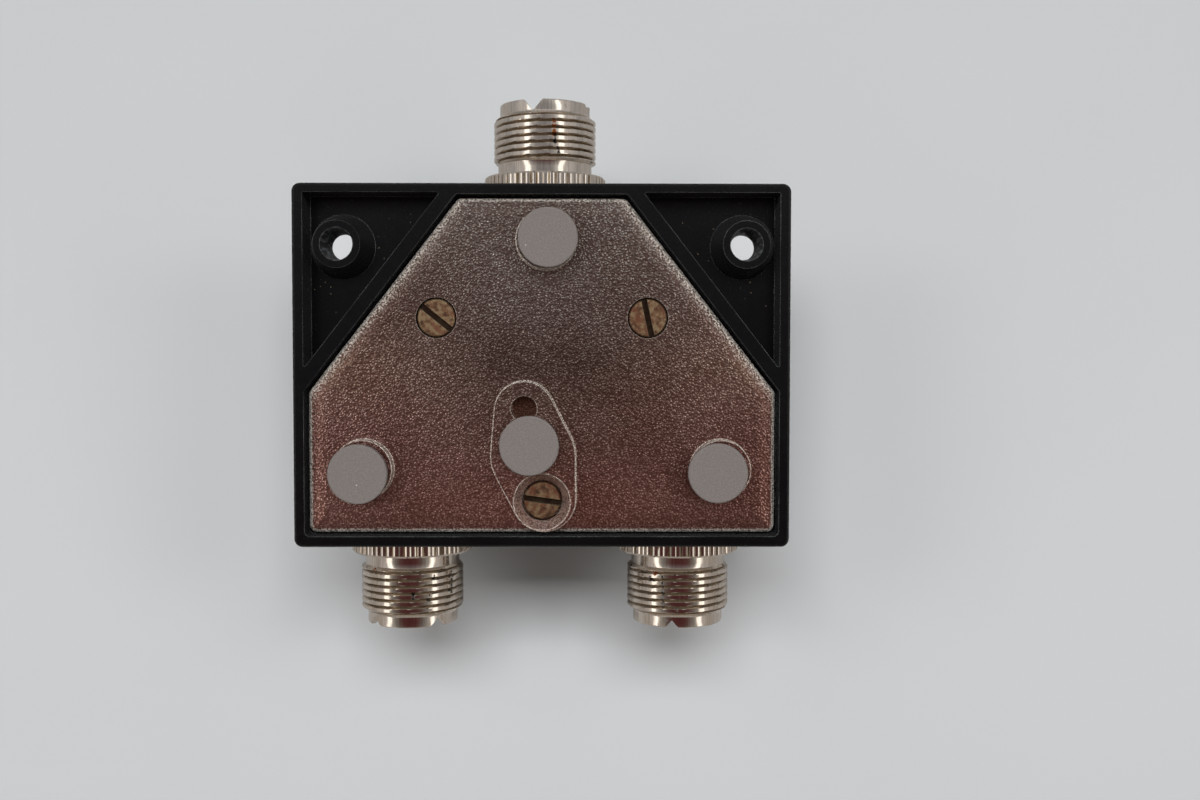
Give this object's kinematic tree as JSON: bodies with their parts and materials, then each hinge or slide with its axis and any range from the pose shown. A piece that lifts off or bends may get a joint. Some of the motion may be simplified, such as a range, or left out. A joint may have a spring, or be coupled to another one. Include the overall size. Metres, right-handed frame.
{
  "type": "coaxial antenna switch",
  "caption": "Die-cast coaxial antenna switch: a common jack on one side, switched jacks on the other, pointer knob, screwed back cover with feet and corner mounting ears.",
  "frame": {"origin": "middle of the box's rectangle, in the plane that the feet rest on", "axes": "+Z from the feet toward the knob, +Y toward the common jack, +X to the right as seen from the knob side"},
  "size_m": [0.073, 0.0808, 0.044],
  "materials": {
    "black_paint": "satin black paint on a zinc die casting",
    "cast_cover": "sand-grained casting with a dull nickel plating",
    "screw_brass": "aged brass with a brown patina",
    "foot_pad": "matt grey foam rubber",
    "nickel": "bright nickel plating, brown in the thread roots",
    "insulator": "cream moulded insulator",
    "contact_brass": "silvered contact brass, slightly tarnished",
    "turned_brass": "turned brass",
    "steel": "plain turned steel",
    "dark_steel": "blackened spring steel",
    "phenolic": "brown paper phenolic",
    "knob_plastic": "black moulded phenolic, satin",
    "pointer_paint": "white filled line"
  },
  "bodies": {
    "box": {"housing": "black_paint", "back_cover": "cast_cover", "cover_screw_left": "screw_brass", "cover_screw_right": "screw_brass", "cover_screw_lower": "screw_brass", "foot_upper": "foot_pad", "foot_middle": "foot_pad", "foot_left": "foot_pad", "foot_right": "foot_pad", "common_jack_shell": "nickel", "port_1_jack_shell": "nickel", "port_2_jack_shell": "nickel", "common_jack_insulator": "insulator", "port_1_jack_insulator": "insulator", "port_2_jack_insulator": "insulator", "common_jack_contact": "contact_brass", "port_1_jack_contact": "contact_brass", "port_2_jack_contact": "contact_brass", "common_jack_nut": "nickel", "port_1_jack_nut": "nickel", "port_2_jack_nut": "nickel", "common_strap": "contact_brass", "port_1_fixed_contact": "contact_brass", "port_2_fixed_contact": "contact_brass", "shaft_bush": "turned_brass", "bush_nut": "nickel", "detent_ball": "steel", "detent_spring": "steel", "stop_pins": "steel"},
    "selector": {"shaft": "steel", "shaft_clip": "dark_steel", "thrust_washer": "steel", "index_plate": "steel", "rotor_disc": "phenolic", "live_arm": "contact_brass", "live_rivets": "turned_brass", "ground_plate": "nickel", "rotor_screw": "steel", "knob": "knob_plastic", "knob_insert": "turned_brass", "knob_set_screw": "dark_steel", "pointer_line": "pointer_paint"}
  },
  "joints": [
    {"name": "selector_turn", "type": "hinge", "parent": "box", "child": "selector", "pos_m": [0, -0.0019, 0.029], "axis": [0, 0, 1], "range_deg": [0, 90]}
  ]
}
